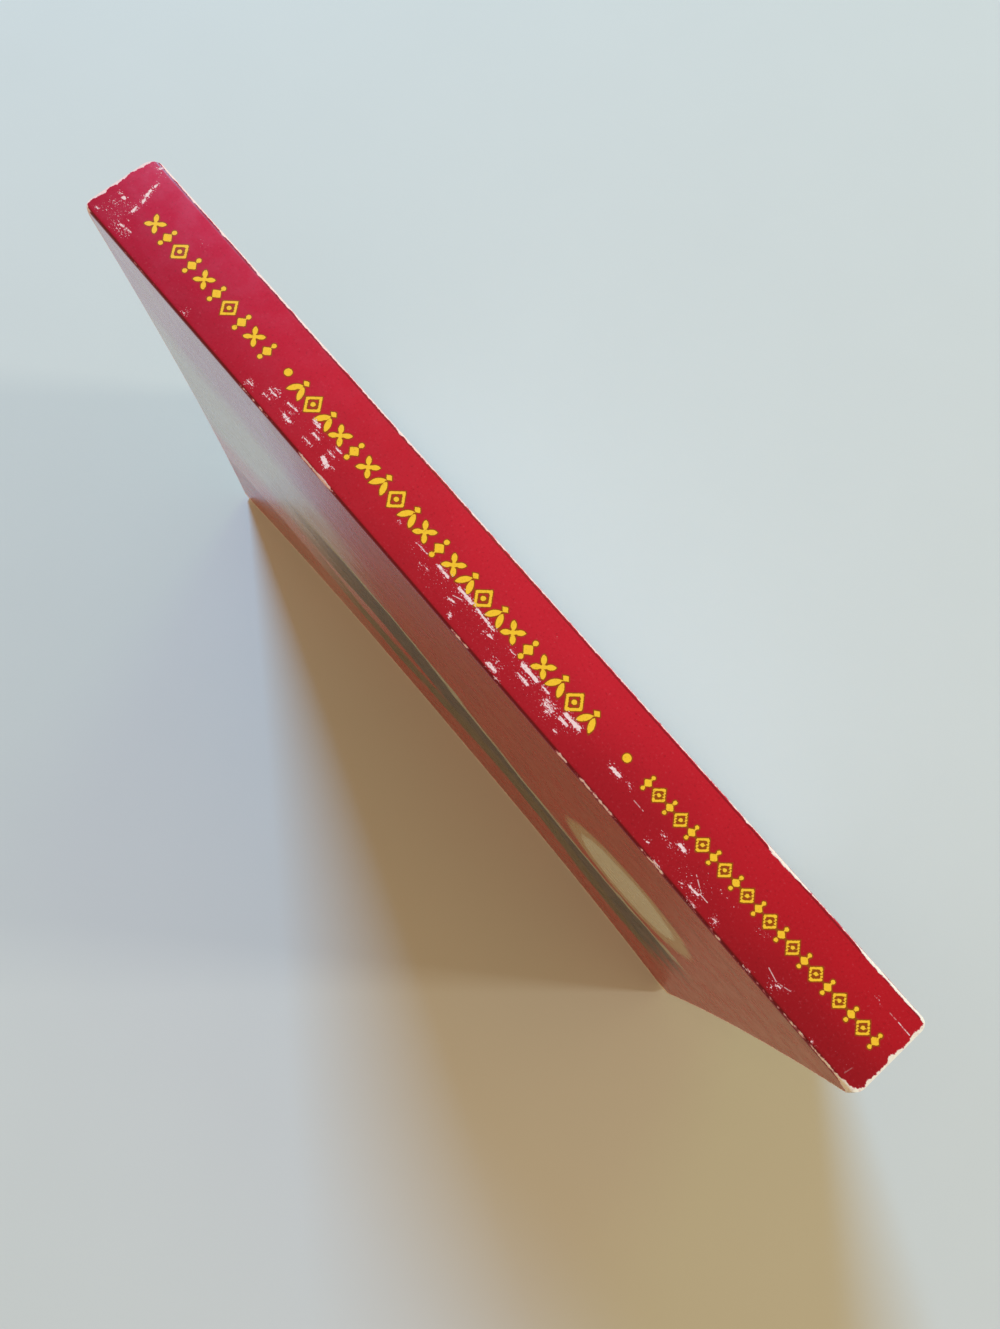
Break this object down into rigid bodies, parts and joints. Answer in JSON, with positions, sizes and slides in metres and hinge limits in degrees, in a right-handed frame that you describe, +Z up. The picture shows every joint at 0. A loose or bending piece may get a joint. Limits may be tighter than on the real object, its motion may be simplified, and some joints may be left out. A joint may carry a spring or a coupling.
{
  "type": "paperback book",
  "caption": "Worn paperback book standing on its fore edge, spine up, front cover ajar, with flared card covers that open and a fanned text block.",
  "frame": {"origin": "middle of the leaves' fore edge, on the surface the book stands on, below the middle of the spine", "axes": "+X along the spine from head to tail, +Y out of the front cover, +Z up from fore edge to spine"},
  "size_m": [0.216, 0.0547, 0.14],
  "materials": {
    "leaves": "matte",
    "glue": "satin",
    "cover_card": "gloss"
  },
  "bodies": {
    "book": {"text_block": "leaves", "spine_glue": "glue", "spine_cover": "cover_card"},
    "front_cover": {"front_cover": "cover_card"},
    "back_cover": {"back_cover": "cover_card"}
  },
  "joints": [
    {"name": "front_cover_hinge", "type": "hinge", "parent": "book", "child": "front_cover", "pos_m": [0, 0.0089, 0.1359], "axis": [1, 0, 0], "range_deg": [-12.5, 167.5], "stiffness_Nm_per_rad": 0.015, "springref_deg": 4.07},
    {"name": "back_cover_hinge", "type": "hinge", "parent": "book", "child": "back_cover", "pos_m": [0, -0.0089, 0.1359], "axis": [-1, 0, 0], "range_deg": [0, 180]}
  ]
}
